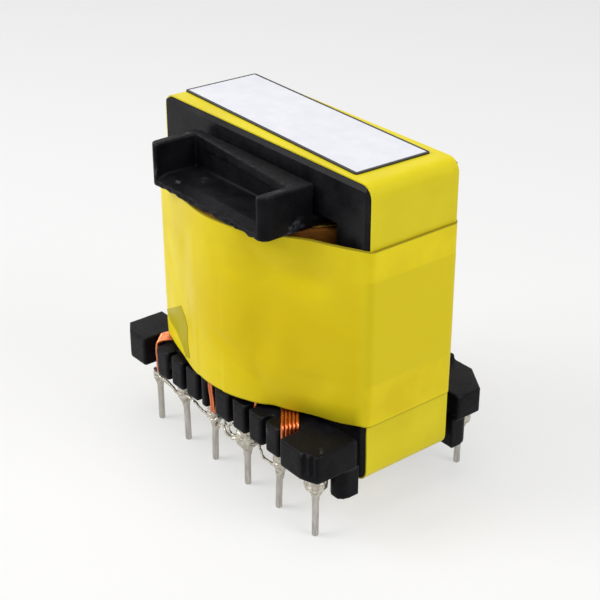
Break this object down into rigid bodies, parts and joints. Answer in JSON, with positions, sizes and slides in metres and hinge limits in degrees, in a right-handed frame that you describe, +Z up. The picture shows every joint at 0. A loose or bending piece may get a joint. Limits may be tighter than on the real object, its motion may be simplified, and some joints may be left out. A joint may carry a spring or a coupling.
{
  "type": "pcb transformer",
  "caption": "Vertical board transformer: yellow-taped ferrite core and winding on a black slotted bobbin with a lead tray and two rows of tinned pins.",
  "frame": {"origin": "centre of the pin pattern on the seating plane, which is the underside of the standoff feet", "axes": "+Z up through the core, +X along the pin rows towards pin 6, -Y is the front with the lead tray"},
  "size_m": [0.0305, 0.0221, 0.0331],
  "materials": {
    "bobbin": "black phenolic moulding, satin with light edge wear",
    "ferrite": "dark grey sintered ferrite, satin",
    "copper": "enamelled copper windings",
    "enamelled_wire": "glossy enamelled copper wire",
    "tape": "glossy yellow polyester tape",
    "label": "bare off-white label with a thin dark frame line",
    "pins": "tinned, slightly dull",
    "solder": "lumpy tin solder with traces of flux"
  },
  "bodies": {
    "root": {"bobbin": "bobbin", "core_lower": "ferrite", "core_upper": "ferrite", "inner_primary_winding": "copper", "insulation_1": "tape", "secondary_winding": "copper", "insulation_2": "tape", "outer_primary_winding": "copper", "insulation_3": "tape", "auxiliary_winding": "copper", "winding_cover": "tape", "wrap_tape": "tape", "core_tape": "tape", "label": "label", "pin_1": "pins", "pin_2": "pins", "pin_3": "pins", "pin_4": "pins", "pin_5": "pins", "pin_6": "pins", "pin_7": "pins", "pin_8": "pins", "pin_9": "pins", "pin_10": "pins", "pin_11": "pins", "pin_12": "pins", "solder_1": "solder", "solder_2": "solder", "solder_3": "solder", "solder_4": "solder", "solder_5": "solder", "solder_6": "solder", "solder_7": "solder", "solder_8": "solder", "solder_9": "solder", "solder_10": "solder", "solder_11": "solder", "solder_12": "solder", "front_left_leads": "enamelled_wire", "front_middle_leads": "enamelled_wire", "front_right_leads": "enamelled_wire", "back_left_leads": "enamelled_wire", "back_right_leads": "enamelled_wire"}
  },
  "joints": []
}
